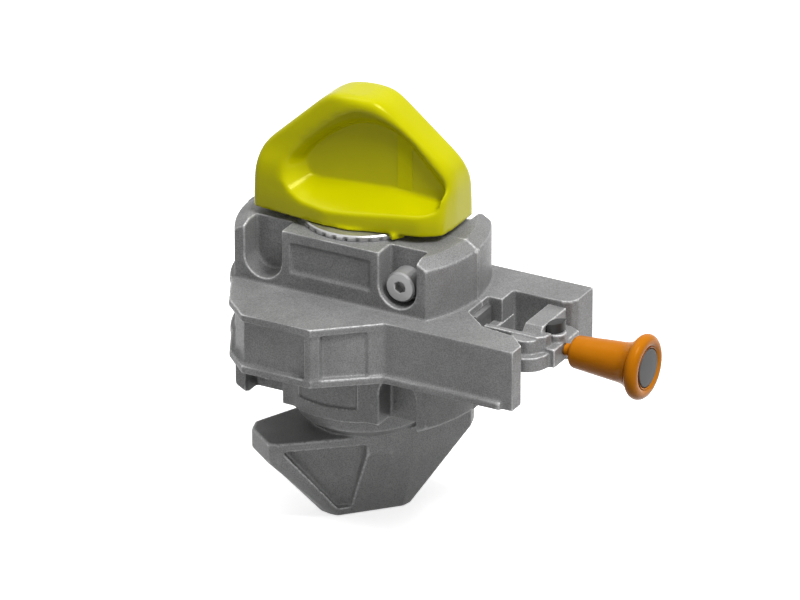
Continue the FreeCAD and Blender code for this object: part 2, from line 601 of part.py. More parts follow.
taper.Ruled = True
neck = new_sketch(cone, "neck", "XY_Plane", NECK_LOW)
circle(neck, "0", "0", "neck_round")
extrude(neck, "Pad", "neck_high + 1")
lug = new_sketch(cone, "stop_lug", "XY_Plane", "%s - lug_drop" % NECK_LOW, "lug_turn")
rectangle(lug, "lug_start", "-lug_half", "lug_end", "lug_half")
extrude(lug, "Pad", "lug_drop + neck_high + cone_foot / 3")
# each hollow: its floor on the web and its mouth outside the cone, corner by corner,
# along the web as a fraction of the cone's half length and above its foot as one of its height
HOLLOW_FLOOR = [(-0.568, 0.365), (-0.44, 0.246), (0.072, 0.244), (0.889, 0.244), (0.906, 0.308),
                (0.894, 0.415), (0.314, 0.833), (-0.072, 0.79), (-0.543, 0.442)]
HOLLOW_MOUTH = [(-1.4, 0.087), (-0.73, 0), (0.085, 0.077), (0.9, -0.017), (0.99, 0.308),
                (0.98, 0.45), (0.53, 1.05), (-0.374, 1.1), (-1.365, 0.51)]
for side in (1, -1):
    name = "hollow_rear" if side > 0 else "hollow_front"
    faces = []
    for part, depth, outline in (("floor", "web_half", HOLLOW_FLOOR), ("mouth", "mouth_deep", HOLLOW_MOUTH)):
        face = new_sketch(cone, name + "_" + part, "XZ_Plane", "%d * %s" % (-side, depth), "web_turn")
        polygon(face, [("cone_long * %s" % (-side * x), "%s + cone_high * %s" % (CONE_LOW, z))
                       for x, z in outline])
        faces.append(face)
    scoop = cone.newObject("PartDesign::SubtractiveLoft", name)
    scoop.Profile = faces[0]
    scoop.Sections = [faces[1]]
    scoop.Ruled = True
socket = new_sketch(cone, "socket", "XY_Plane", NECK_LOW)
SOCKET = "tang_half + bush_gap"
rectangle(socket, "-(%s)" % SOCKET, "-(%s)" % SOCKET, SOCKET, SOCKET)
extrude(socket, "Pocket", "neck_high + tang_long + bush_gap", reverse=True)
pin_hole = new_sketch(cone, "pin_hole", "XZ_Plane", "-pin_start")
circle(pin_hole, "0", PIN_Z, "pin_round + bush_gap")
extrude(pin_hole, "Pocket", "cone_wide", reverse=False)
pin = cylinder("cone_pin", "pin_round", "pin_long", ("0", "pin_start", PIN_Z), Vector(0, 1, 0))

# wire drum with its groove, keyed to the spindle
drum = new_body("wire_drum")
blank = new_sketch(drum, "blank", "XZ_Plane")
polygon(blank, [(BORE_TIGHT, "-drum_half"), ("drum_round - 1", "-drum_half"), ("drum_round", "1 - drum_half"),
                ("drum_round", "drum_half - 1"), ("drum_round - 1", "drum_half"), (BORE_TIGHT, "drum_half")])
spin(blank, "Revolution")
groove = new_sketch(drum, "groove", "XZ_Plane")
GROOVE = "wire_round + 0.1"
polygon(groove, [("pitch_round - (%s)" % GROOVE, "-1.3"), ("pitch_round", "-(%s)" % GROOVE),
                 ("drum_round + 1", "-(%s) - 0.5" % GROOVE), ("drum_round + 1", "%s + 0.5" % GROOVE),
                 ("pitch_round", GROOVE), ("pitch_round - (%s)" % GROOVE, "1.3")])
spin(groove, "Groove")
keyway = new_sketch(drum, "keyway", "XY_Plane", "-drum_half")
rectangle(keyway, "-(key_wide / 2 + bush_gap)", "-(spindle_round + key_proud + 0.1)",
          "key_wide / 2 + bush_gap", "0")
extrude(keyway, "Pocket", reverse=True)
anchors = new_sketch(drum, "anchors", "XY_Plane", "-drum_half")
ANCHOR_X = "(pitch_round - 0.5) * cos(wrap_end)"
ANCHOR_Y = "(pitch_round - 0.5) * sin(wrap_end)"
circle(anchors, ANCHOR_X, ANCHOR_Y, "anchor_round + 0.05")
extrude(anchors, "Pocket", "2 * drum_half - 1.5", reverse=True)
leg_hole = new_sketch(drum, "leg_hole", "XY_Plane", "drum_half")
circle(leg_hole, "spring_round", "0", "spring_wire + 0.1")
extrude(leg_hole, "Pocket", "leg_deep + 0.2")
key = box("drum_key", ("-key_wide / 2", "-(spindle_round + key_proud)", "1 - drum_half"),
          ("key_wide / 2", "key_proud - spindle_round", "drum_half - 1"))
anchor = cylinder("wire_anchor", "anchor_round", "2 * drum_half - 2",
                  (ANCHOR_X, ANCHOR_Y, "0.2 - drum_half"))

# torsion spring: coils, a leg down into the drum and a leg out into the housing
coil = doc.addObject("Part::Helix", "spring_path")
coil.setExpression("Radius", bound("spring_round"))
coil.setExpression("Pitch", bound("spring_pitch"))
coil.setExpression("Height", bound("spring_pitch * spring_turns"))
coil.setExpression("Placement.Base.z", bound("spring_start"))
section = doc.addObject("Part::Circle", "spring_section")
section.setExpression("Radius", bound("spring_wire"))
section.Placement = FreeCAD.Placement(Vector(), Rotation(Vector(1, 0, 0), 90))
section.setExpression("Placement.Base.x", bound("spring_round"))
section.setExpression("Placement.Base.z", bound("spring_start"))
doc.recompute()
coils = doc.addObject("Part::Sweep", "spring_coils")
coils.Sections = [section]
coils.Spine = (coil, ["Edge%d" % n for n in range(1, len(coil.Shape.Edges) + 1)])
coils.Solid = True
coils.Frenet = True
low_leg = cylinder("spring_low_leg", "spring_wire", "spring_start - drum_half + leg_deep",
                   ("spring_round", "0", "drum_half - leg_deep"))
high_leg = cylinder("spring_high_leg", "spring_wire", "spring_leg - spring_round",
                    ("-spring_round", "0", "spring_start + spring_pitch * spring_turns"), Vector(-1, 0, 0))
spring = doc.addObject("Part::MultiFuse", "torsion_spring")
spring.Shapes = [coils, low_leg, high_leg]

# pull wire: the guided stretch round the drum, then the straight stretch that slides
leave = math.radians(size(WIRE_LEAVE))
wrap = math.radians(size("wrap_end"))
pitch = size("pitch_round")
corner = Vector(size("block_start"), 0, 0)


def on_drum(angle):
    return Vector(pitch * math.cos(angle), pitch * math.sin(angle), 0)


bend = size("wire_bend")
WIRE_START = 0.13
turn = math.pi / 2 - leave
setback = bend * math.tan(turn / 2)
wrap_arc = Part.Arc(on_drum(wrap - WIRE_START), on_drum((wrap + leave) / 2), on_drum(leave))
run_way = (corner - on_drum(leave)).normalize()
run_end = corner - run_way * setback
bend_end = corner + Vector(setback, 0, 0)
centre = bend_end + Vector(0, bend, 0)
middle = centre - Vector(math.sin(turn / 2), math.cos(turn / 2), 0) * bend
path = Part.Wire([wrap_arc.toShape(), Part.LineSegment(on_drum(leave), run_end).toShape(),
                  Part.Arc(run_end, middle, bend_end).toShape(),
                  Part.LineSegment(bend_end, Vector(size("wire_join"), 0, 0)).toShape()])
start = on_drum(wrap - WIRE_START)
heading = Vector(math.sin(wrap - WIRE_START), -math.cos(wrap - WIRE_START), 0)
rope_end = Part.Wire([Part.Circle(start, heading, size("wire_round")).toShape()])
guided = doc.addObject("Part::Feature", "guided_wire")
guided.Shape = path.makePipeShell([rope_end], True, False)
print("guided wire: volume over section times length",
      guided.Shape.Volume / (math.pi * size("wire_round") ** 2 * path.Length))
ALONG = Vector(1, 0, 0)
wire = cylinder("pull_wire", "wire_round", "%s - disc_deep - 1.5 - wire_join" % HANDLE_END,
                ("wire_join", "0", "0"), ALONG)


def sleeve(name, outer, inner, low, high):
    """A sleeve about the handle's axis."""
    wall = cylinder(name + "_wall", outer, "(%s) - (%s)" % (high, low), (low, "0", "0"), ALONG)
    hole = cylinder(name + "_hole", inner, "(%s) - (%s) + 2" % (high, low),
                    ("(%s) - 1" % low, "0", "0"), ALONG)
    return cut(name, wall, hole)


WIRE_BORE = "wire_round + bush_gap"
ferrule_end = "%s - disc_deep - 0.3" % HANDLE_END
stub = sleeve("wire_sleeve", "sleeve_round", WIRE_BORE, PLATE_END + " + end_play", HANDLE_START + " + 8")
ferrule = sleeve("handle_ferrule", "ferrule_round", WIRE_BORE, "%s - ferrule_long" % ferrule_end, ferrule_end)

# pull handle: a turned grip that flares into a thick rim, hollowed for the ferrule and the disc
handle = new_body("pull_handle")
grip = new_sketch(handle, "grip", "XZ_Plane")
polygon(grip, [(HANDLE_START, "sleeve_round + 0.05"), (HANDLE_START, "grip_start - 2.2"),
               (HANDLE_START + " + 0.8", "grip_start - 0.7"), (HANDLE_START + " + 2.4", "grip_start"),
               ("%s - 12" % HANDLE_END, "grip_end"), ("%s - 8.5" % HANDLE_END, "grip_end + 0.9"),
               ("%s - rim_tube - 0.5" % HANDLE_END, "rim_round - rim_tube + 0.4"),
               ("%s - rim_tube" % HANDLE_END, "rim_round - rim_tube"),
               ("%s - 0.4" % HANDLE_END, "rim_round - rim_tube - 1"), (HANDLE_END, "disc_round + disc_gap"),
               ("%s - disc_deep" % HANDLE_END, "disc_round + disc_gap"),
               ("%s - disc_deep" % HANDLE_END, "ferrule_round + 0.05"),
               ("%s - ferrule_long - disc_deep - 0.5" % HANDLE_END, "ferrule_round + 0.05"),
               ("%s - ferrule_long - disc_deep - 0.5" % HANDLE_END, "sleeve_round + 0.05")])
spin(grip, "Revolution", axis="H_Axis")
rim = new_sketch(handle, "rim", "XZ_Plane")
circle(rim, "%s - rim_tube" % HANDLE_END, "rim_round - rim_tube", "rim_tube")
spin(rim, "Revolution", axis="H_Axis")
disc = cylinder("handle_disc", "disc_round", "disc_deep - 0.2",
                ("%s - disc_deep" % HANDLE_END, "0", "0"), ALONG)

# guide block that turns the wire into the slot, with a flared mouth
block_blank = box("block_blank", ("block_start", "-block_front", "-block_low"),
                  ("block_end", "block_rear", "block_top"))
block_bore = cylinder("block_bore", "wire_round + wire_gap", "block_end - block_start + 2",
                      ("block_start - 1", "0", "0"), ALONG)
block_mouth = doc.addObject("Part::Cone", "block_mouth")
block_mouth.setExpression("Radius1", bound("wire_round + wire_gap + 1.1"))
block_mouth.setExpression("Radius2", bound("wire_round + wire_gap"))
block_mouth.setExpression("Height", bound("(block_end - block_start) / 3"))
block_mouth.Placement = FreeCAD.Placement(Vector(size("block_start"), 0, 0), Rotation(Vector(0, 0, 1), ALONG))
block_mouth.setExpression("Placement.Base.x", bound("block_start"))
block = cut("guide_block", block_blank, block_bore, block_mouth)

# release bracket: a plate between the arms with a round lobe, a lip, a boss and a raised strap
bracket = new_body("release_bracket")
plate = new_sketch(bracket, "plate", "XY_Plane", "-plate_low")
lobe_front = "-(plate_front + lobe_round)"
polygon(plate, [("block_end", "slot_step"), ("block_end", "-(block_front + 3)"),
                ("step_end + 6", "3 - slot_front"),
                ("lobe_x", lobe_front), ("lobe_x", "-plate_front"), (PLATE_END, "-plate_front"),
                (PLATE_END, "plate_rear"), ("arm_end - 1", "slot_rear"), ("step_end", "slot_rear"),
                ("step_end", "slot_step")])
extrude(plate, "Pad", "plate_low + plate_top")
lobe = new_sketch(bracket, "lobe", "XY_Plane", "-plate_low")
circle(lobe, "lobe_x", "-plate_front", "lobe_round")
extrude(lobe, "Pad", "plate_low + plate_top - 1.9")
boss = new_sketch(bracket, "boss", "XY_Plane", "-plate_low")
circle(boss, "lobe_x", "-plate_front", "boss_round")
extrude(boss, "Pad", "plate_low + lip_top - 1")
lip = new_sketch(bracket, "lip", "XY_Plane")
LIP_OUT = "-(plate_front + 1 + lip_thick / 2)"
LIP_IN = "lip_thick / 2 - plate_front - 1"
polygon(lip, [("lip_start", LIP_OUT), (STOP_X + " - 2.5", LIP_OUT),
              (STOP_X + " + 0.2", "lip_turn - lip_thick"), (STOP_X + " + 0.8", "lip_turn + lip_thick / 2"),
              (STOP_X + " - lip_thick + 0.6", "lip_turn + lip_thick / 2"),
              (STOP_X + " - lip_thick", "lip_turn - lip_thick / 2"),
              (STOP_X + " - 2 * lip_thick + 1", LIP_IN), ("lip_start", LIP_IN)])
extrude(lip, "Pad", "lip_top")
window = new_sketch(bracket, "window", "XY_Plane", "-plate_low")
rectangle(window, "step_end + 0.5", "1 - plate_front", STRAP_END + " - strap_wide - 0.7", "slot_rear + 1")
extrude(window, "Pocket", reverse=True)
strap = new_sketch(bracket, "strap", "YZ_Plane", STRAP_END + " - strap_wide")
polygon(strap, [("2 - plate_front", "0"), ("-plate_front", "strap_top - 4"), ("4 - plate_front", "strap_top"),
                ("slot_rear", "strap_top"), ("slot_rear", "0")])
extrude(strap, "Pad", "strap_wide")
seat = new_sketch(bracket, "stop_seat", "XY_Plane")
circle(seat, STOP_X, "stop_y", "stop_in - 0.1")
extrude(seat, "Pad", "stop_seat")
stop_hole = new_sketch(bracket, "stop_hole", "XY_Plane", "wire_round + wire_gap")
circle(stop_hole, STOP_X, "stop_y", "stop_shank + bush_gap")
extrude(stop_hole, "Pocket", reverse=True)
wire_hole = new_sketch(bracket, "wire_hole", "YZ_Plane")
circle(wire_hole, "0", "0", "wire_round + wire_gap")
extrude(wire_hole, "Pocket", reverse=True)

# stop: a bar with two curved sides on a round shank
bows = [cylinder("stop_bow_%d" % number, "stop_curve", "stop_top - stop_seat",
                 ("%s + %d * (stop_curve - stop_half) * sin(stop_turn)" % (STOP_X, way),
                  "stop_y - %d * (stop_curve - stop_half) * cos(stop_turn)" % way, "stop_seat"))
        for number, way in enumerate((1, -1), 1)]
head = doc.addObject("Part::MultiCommon", "stop_head")
head.Shapes = bows
shank = cylinder("stop_shank_bar", "stop_shank", "stop_seat - plate_top + 1",
                 (STOP_X, "stop_y", "plate_top - 0.6"))
stop = doc.addObject("Part::Fuse", "stop_pin")
stop.Base = head
stop.Tool = shank

doc.recompute()
for item in doc.Objects:
    if "Invalid" in item.State or "Error" in item.State:
        raise RuntimeError("%s: %s" % (item.Name, item.State))
PIECES = [front, rear, screws, upper_bush, lower_bush, washer, spindle, cone, pin, drum, key, anchor,
          spring, guided, wire, stub, ferrule, handle, disc, block, bracket, stop]
for piece in PIECES:
    if piece.Shape.isNull() or not piece.Shape.isValid() or not piece.Shape.Solids:
        raise RuntimeError("bad shape: " + piece.Label)
for piece in PIECES:
    piece.Shape.exportStep("parts/%s.step" % piece.Label)
    print(piece.Label, len(piece.Shape.Solids), "solid(s), mm3", round(piece.Shape.Volume))
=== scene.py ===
import math
import bmesh
import bpy
import numpy
from mathutils import Matrix, Vector
from mathutils.kdtree import KDTree


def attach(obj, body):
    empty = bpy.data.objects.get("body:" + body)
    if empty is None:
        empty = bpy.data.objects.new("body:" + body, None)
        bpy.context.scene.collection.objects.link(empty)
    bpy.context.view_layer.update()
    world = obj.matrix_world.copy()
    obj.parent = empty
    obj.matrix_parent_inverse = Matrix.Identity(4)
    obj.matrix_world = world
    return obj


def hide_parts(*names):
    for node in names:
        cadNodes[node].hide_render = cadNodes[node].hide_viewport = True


# Container twistlock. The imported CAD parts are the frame; lengths in dictionaries are millimetres.
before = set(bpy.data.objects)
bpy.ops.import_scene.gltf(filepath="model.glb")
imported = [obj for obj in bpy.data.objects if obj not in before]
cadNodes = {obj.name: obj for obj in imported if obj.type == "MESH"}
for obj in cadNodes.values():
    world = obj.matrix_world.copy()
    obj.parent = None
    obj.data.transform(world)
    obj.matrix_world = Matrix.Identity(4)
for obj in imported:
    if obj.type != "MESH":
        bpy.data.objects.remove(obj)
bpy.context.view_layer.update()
mm = 0.001


# Camera
cameraSet = {"turn": 28.35, "rise": 25.2, "distance": 4000, "seenWidth": 323.6, "lookAt": (15.3, 3.0, 3.3),
             "sensor": 36, "clipEnd": 20}


def placeCamera(settings):
    turn, rise = math.radians(settings["turn"]), math.radians(settings["rise"])
    right = Vector((math.cos(turn), math.sin(turn), 0))
    back = Vector((math.sin(turn) * math.cos(rise), -math.cos(turn) * math.cos(rise), math.sin(rise)))
    up = back.cross(right)
    data = bpy.data.cameras.new("photoCamera")
    data.sensor_width = settings["sensor"]
    data.lens = settings["sensor"] * settings["distance"] / settings["seenWidth"]
    data.clip_end = settings["clipEnd"]
    camera = bpy.data.objects.new("photoCamera", data)
    place = Vector(settings["lookAt"]) * mm + back * settings["distance"] * mm
    camera.matrix_world = Matrix.Translation(place) @ Matrix((right, up, back)).transposed().to_4x4()
    bpy.context.scene.collection.objects.link(camera)
    bpy.context.scene.camera = camera


placeCamera(cameraSet)
print("camera placed")


# Materials
def hexColour(text):
    parts = [int(text[i:i + 2], 16) / 255 for i in (1, 3, 5)]
    return [c / 12.92 if c <= 0.04045 else ((c + 0.055) / 1.055) ** 2.4 for c in parts] + [1.0]


def addNode(tree, kind, settings=None, **links):
    # settings: attributes or inputs by name; links: input name, or "i" and its number, = source socket
    node = tree.nodes.new(kind)
    for key, value in (settings or {}).items():
        if isinstance(key, str) and hasattr(node, key):
            setattr(node, key, value)
        else:
            node.inputs[key].default_value = value
    for key, source in links.items():
        numbered = key[0] == "i" and key[1:].isdigit()
        tree.links.new(source, node.inputs[int(key[1:]) if numbered else key])
    return node


def newMaterial(name, base, roughness, metallic=0.0, specular=0.5):
    material = bpy.data.materials.new(name)
    material.use_nodes = True
    tree = material.node_tree
    shader = tree.nodes["Principled BSDF"]
    shader.inputs["Base Color"].default_value = hexColour(base)
    shader.inputs["Roughness"].default_value = roughness
    shader.inputs["Metallic"].default_value = metallic
    shader.inputs["Specular IOR Level"].default_value = specular
    return material, tree, shader


def rampNode(tree, source, stops):
    ramp = addNode(tree, "ShaderNodeValToRGB", None, Fac=source)
    elements = ramp.color_ramp.elements
    while len(elements) > 1:
        elements.remove(elements[-1])
    for number, (place, colour) in enumerate(stops):
        element = elements[0] if number == 0 else elements.new(place)
        element.position = place
        element.color = hexColour(colour) if isinstance(colour, str) else (colour, colour, colour, 1)
    return ramp


# Ductile iron, sand cast and zinc coated: a dull grey skin with the sand's grain, and convex edges painted
# brighter, partly as wear where edges have rubbed against steel and partly as painted highlight.
def sandCastIron(name, dull, light, edge, grain=0.35, roughness=0.44):
    material, tree, shader = newMaterial(name, dull, roughness, 0.16, 0.2)
    where = addNode(tree, "ShaderNodeTexCoord").outputs["Object"]
    # sand grain 0.5 to 1 mm, drawn a little coarser than real so that it shows
    grit = addNode(tree, "ShaderNodeTexNoise", {"Scale": 900.0, "Detail": 3.0, "Roughness": 0.6}, Vector=where)
    patch = addNode(tree, "ShaderNodeTexNoise", {"Scale": 60.0, "Detail": 4.0, "Roughness": 0.6}, Vector=where)
    speck = addNode(tree, "ShaderNodeTexNoise", {"Scale": 2200.0, "Detail": 1.0}, Vector=where)
    tone = rampNode(tree, patch.outputs["Fac"], [(0.3, dull), (0.7, light)])
    specks = rampNode(tree, speck.outputs["Fac"], [(0.36, 0.72), (0.5, 1.0), (0.66, 1.22)])
    skin = addNode(tree, "ShaderNodeMix", {"data_type": "RGBA", "blend_type": "MULTIPLY", "Factor": 0.8},
                   i6=tone.outputs["Color"], i7=specks.outputs["Color"])
    curve = addNode(tree, "ShaderNodeNewGeometry").outputs["Pointiness"]
    # convex edges found by Pointiness get the edge colour: part wear, part painted highlight
    wornAndHighlightEdge = rampNode(tree, curve, [(0.511, 0.0), (0.548, 1.0)])
    rubAndHighlight = addNode(tree, "ShaderNodeMath", {"operation": "MULTIPLY"}, i0=wornAndHighlightEdge.outputs["Color"],
                  i1=rampNode(tree, grit.outputs["Fac"], [(0.35, 0.25), (0.6, 1.0)]).outputs["Color"])
    edges = addNode(tree, "ShaderNodeMix", {"data_type": "RGBA"}, i0=rubAndHighlight.outputs[0], i6=skin.outputs[2])
    edges.inputs[7].default_value = hexColour(edge)
    tree.links.new(edges.outputs[2], shader.inputs["Base Color"])
    gloss = rampNode(tree, grit.outputs["Fac"], [(0.3, roughness - 0.08), (0.7, roughness + 0.14)])
    tree.links.new(gloss.outputs["Color"], shader.inputs["Roughness"])
    bump = addNode(tree, "ShaderNodeBump", {"Strength": grain, "Distance": 0.0004}, Height=grit.outputs["Fac"])
    wave = addNode(tree, "ShaderNodeBump", {"Strength": 0.25, "Distance": 0.0012}, Height=patch.outputs["Fac"],
                   Normal=bump.outputs["Normal"])
    tree.links.new(wave.outputs["Normal"], shader.inputs["Normal"])
    return material


# Even skins, such as powder coat, moulded plastic or blackened steel: one colour and a fine orange peel.
def powderCoat(name, base, deep, roughness, peel=260.0, specular=0.15, tint="#FFFFFF"):
    material, tree, shader = newMaterial(name, base, roughness, 0.0, specular)
    shader.inputs["Specular Tint"].default_value = hexColour(tint)
    where = addNode(tree, "ShaderNodeTexCoord").outputs["Object"]
    cloud = addNode(tree, "ShaderNodeTexNoise", {"Scale": 40.0, "Detail": 3.0}, Vector=where)
    tone = rampNode(tree, cloud.outputs["Fac"], [(0.3, deep), (0.65, base)])
    tree.links.new(tone.outputs["Color"], shader.inputs["Base Color"])
    skin = addNode(tree, "ShaderNodeTexNoise", {"Scale": peel, "Detail": 2.0}, Vector=where)
    bump = addNode(tree, "ShaderNodeBump", {"Strength": 0.10, "Distance": 0.0005}, Height=skin.outputs["Fac"])
    tree.links.new(bump.outputs["Normal"], shader.inputs["Normal"])
    return material


# Turned or ground steel: fine lines round the axis and a soft metal shine.
def turnedSteel(name, base, roughness, metallic=0.85, lines=1600.0, axis=2):
    material, tree, shader = newMaterial(name, base, roughness, metallic)
    where = addNode(tree, "ShaderNodeTexCoord").outputs["Object"]
    stretch = addNode(tree, "ShaderNodeMapping", None, Vector=where)
    stretch.inputs["Scale"].default_value = [1.0 if n == axis else 0.05 for n in range(3)]
    line = addNode(tree, "ShaderNodeTexNoise", {"Scale": lines, "Detail": 2.0}, Vector=stretch.outputs[0])
    gloss = rampNode(tree, line.outputs["Fac"], [(0.3, roughness - 0.08), (0.7, roughness + 0.1)])
    tree.links.new(gloss.outputs["Color"], shader.inputs["Roughness"])
    bump = addNode(tree, "ShaderNodeBump", {"Strength": 0.15, "Distance": 0.0002}, Height=line.outputs["Fac"])
    tree.links.new(bump.outputs["Normal"], shader.inputs["Normal"])
    return material


# the last colour of each is its edge colour, part wear and part painted highlight
castHousing = sandCastIron("sandCastHousingIron", "#7A7A7A", "#888888", "#DCDCDC")
castCone = sandCastIron("sandCastConeIron", "#8A8A8A", "#969696", "#E4E4E4")
castBracket = sandCastIron("fineCastBracketIron", "#808080", "#8E8E8E", "#E0E0E0", 0.15, 0.4)
yellowCoat = powderCoat("yellowPowderCoat", "#C0BD00", "#B9B600", 0.2, specular=0.22, tint="#FFF590")
# lighter than the coat: the strip's colour is a painted highlight
yellowHighlightStrip = powderCoat("yellowSatinStripPaintedHighlight", "#CCC90C", "#C6C408", 0.4, tint="#FFF590")
orangeGrip = powderCoat("orangeGlossPolyamide", "#C07410", "#B66C0A", 0.24, specular=0.12, tint="#FFC080")
greyCap = powderCoat("greyMouldedCap", "#646464", "#5C5C5C", 0.5, specular=0.1)
brightSteel = turnedSteel("groundBearingSteel", "#B9B9B9", 0.34)
screwSteel = turnedSteel("zincPlatedScrewSteel", "#A2A2A2", 0.45, 0.6)
blockSteel = turnedSteel("drawnBlockSteel", "#7C7C7C", 0.45, 0.6)
darkSteel = powderCoat("blackenedSteel", "#3A3A3A", "#323232", 0.4)
springSteel = turnedSteel("oilTemperedSpringSteel", "#5A5A5C", 0.4)
bearingBronze = turnedSteel("bearingBronze", "#B08D57", 0.35)
wireSteel = turnedSteel("galvanizedWire", "#9A9A9A", 0.4, axis=0)
print("materials made")


# Castings: the CAD solids with the rounded edges of a sand casting
def copyOfNode(name, pieceName):
    mesh = cadNodes[name].data.copy()
    mesh.materials.clear()
    piece = bpy.data.objects.new(pieceName, mesh)
    bpy.context.scene.collection.objects.link(piece)
    work = bmesh.new()
    work.from_mesh(mesh)
    bmesh.ops.remove_doubles(work, verts=work.verts, dist=2e-6)
    work.to_mesh(mesh)
    work.free()
    if mesh.attributes.get("custom_normal"):
        mesh.attributes.remove(mesh.attributes["custom_normal"])
    return piece


def settle(piece):
    # applies the modifiers and leaves a plain mesh at the origin
    graph = bpy.context.evaluated_depsgraph_get()
    mesh = bpy.data.meshes.new_from_object(piece.evaluated_get(graph))
    piece.modifiers.clear()
    piece.data = mesh
    return piece


def finishPiece(piece, material, body, slotName, *nodes):
    piece.data.materials.append(material)
    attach(piece, body)
    if nodes:
        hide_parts(*nodes)


def rimPoints(mesh, settings):
    # points along the sharp outward edges of the CAD shape within a band of heights
    shape = bmesh.new()
    shape.from_mesh(mesh)
    points = []
    for edge in shape.edges:
        if len(edge.link_faces) != 2 or edge.calc_face_angle_signed(0) < math.radians(settings["sharp"]):
            continue
        start, end = edge.verts[0].co, edge.verts[1].co
        if min(start.z, end.z) < settings["above"] * mm:
            continue
        count = max(1, int((end - start).length / mm))
        points += [start.lerp(end, i / count) for i in range(count + 1)]
    shape.free()
    return points


def rimWeights(places, points, settings):
    # 1 at the rims, falling to the base value away from them
    tree = KDTree(len(points))
    for number, point in enumerate(points):
        tree.insert(point, number)
    tree.balance()
    near, far, base = settings["near"] * mm, settings["far"] * mm, settings["base"]
    weights = numpy.empty(len(places))
    for number, place in enumerate(places):
        gap = tree.find(Vector(place))[2]
        share = min(1.0, max(0.0, (far - gap) / (far - near)))
        weights[number] = base + (1 - base) * share * share * (3 - 2 * share)
    return weights


def relax(mesh, weights, rounds):
    # each point moves towards the mean of its neighbours, by its own weight
    places = numpy.empty(len(mesh.vertices) * 3)
    mesh.vertices.foreach_get("co", places)
    places = places.reshape(-1, 3)
    ends = numpy.empty(len(mesh.edges) * 2, dtype=numpy.int32)
    mesh.edges.foreach_get("vertices", ends)
    ends = ends.reshape(-1, 2)
    count = numpy.bincount(ends.ravel(), minlength=len(places))[:, None]
    for turn in range(rounds):
        total = numpy.empty_like(places)
        for axis in range(3):
            total[:, axis] = numpy.bincount(ends[:, 0], places[ends[:, 1], axis], len(places))
            total[:, axis] += numpy.bincount(ends[:, 1], places[ends[:, 0], axis], len(places))
        places += (total / count - places) * (0.5 * weights)[:, None]
    mesh.vertices.foreach_set("co", places.ravel())
    mesh.update()


def castPiece(settings, piece=None):
    piece = piece or copyOfNode(settings["node"], settings["name"])
    rims = [(settings[key], rimPoints(piece.data, settings[key])) for key in ("rim", "lip")
            if key in settings]
    remesh = piece.modifiers.new("castSkin", "REMESH")
    remesh.mode = "VOXEL"
    remesh.voxel_size = settings["voxel"] * mm
    settle(piece)
    mesh = piece.data
    relax(mesh, numpy.ones(len(mesh.vertices)), settings["soften"])
    for rim, points in rims:
        relax(mesh, rimWeights([v.co for v in mesh.vertices], points, rim), rim["rounds"])
    if "keep" in settings:
        thin = piece.modifiers.new("fewerFaces", "DECIMATE")
        thin.ratio = settings["keep"]
        settle(piece)
    piece.name = settings["name"]
    piece.data.materials.clear()
    piece.data.shade_smooth()
    finishPiece(piece, settings["material"], settings["body"], settings["slot"], settings["node"])
    piece.data.calc_loop_triangles()
    print(settings["name"], len(piece.data.loop_triangles), "triangles")


frontCasting = {"node": "front_housing", "name": "frontCasting", "voxel": 0.5, "soften": 4, "keep": 0.28,
                "material": castHousing, "body": "housing", "slot": "cast_housing"}
rearCasting = dict(frontCasting, node="rear_housing", name="rearCasting")
bracketCasting = {"node": "release_bracket", "name": "bracketCasting", "voxel": 0.4, "soften": 4,
                  "material": castBracket, "body": "housing", "slot": "cast_bracket"}
lowerCone = {"node": "spindle", "name": "spindleForging", "voxel": 0.6, "soften": 3,
             "material": castCone, "body": "spindle", "slot": "cast_cone"}
for settings in (frontCasting, rearCasting, bracketCasting, lowerCone):
    castPiece(settings)


